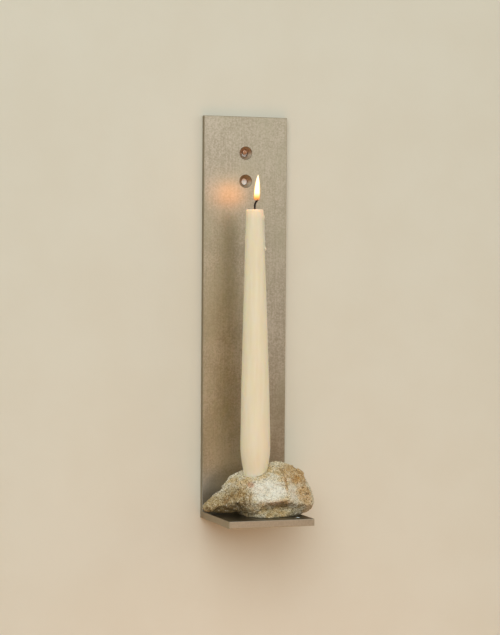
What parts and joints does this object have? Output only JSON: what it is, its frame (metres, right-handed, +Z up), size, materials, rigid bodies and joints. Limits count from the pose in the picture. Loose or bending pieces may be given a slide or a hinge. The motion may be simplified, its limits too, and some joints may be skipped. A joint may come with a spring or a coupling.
{
  "type": "wall sconce candle holder",
  "caption": "Upright flat-bar steel wall sconce with a small shelf; a loose natural stone on the shelf holds a lit taper candle in a drilled socket.",
  "frame": {"origin": "on the wall face of the back plate, midway between the two screw holes", "axes": "+Z up, along the bar; +Y into the wall; the front looks along -Y; +X to the right as seen from the front"},
  "size_m": [0.081, 0.07, 0.3],
  "materials": {
    "brushed_steel": "satin, ground along the bar, clear waxed",
    "weld_metal": "ground flush",
    "natural_stone": "rough, as broken, pale grey with ochre stains",
    "candle_wax": "ivory wax, soft satin",
    "cotton_wick": "braided cotton, charred at the tip"
  },
  "bodies": {
    "bracket": {"back_plate": "brushed_steel", "shelf_plate": "brushed_steel", "weld_seam": "weld_metal"},
    "stone": {"stone_base": "natural_stone"},
    "candle": {"candle_wax": "candle_wax", "candle_wick": "cotton_wick"}
  },
  "joints": [
    {"name": "stone_lift", "type": "slide", "parent": "bracket", "child": "stone", "axis": [0, 0, 1], "range_m": [0, 0.04]},
    {"name": "candle_lift", "type": "slide", "parent": "stone", "child": "candle", "axis": [-0.0087, 0, 1], "range_m": [0, 0.03]}
  ]
}
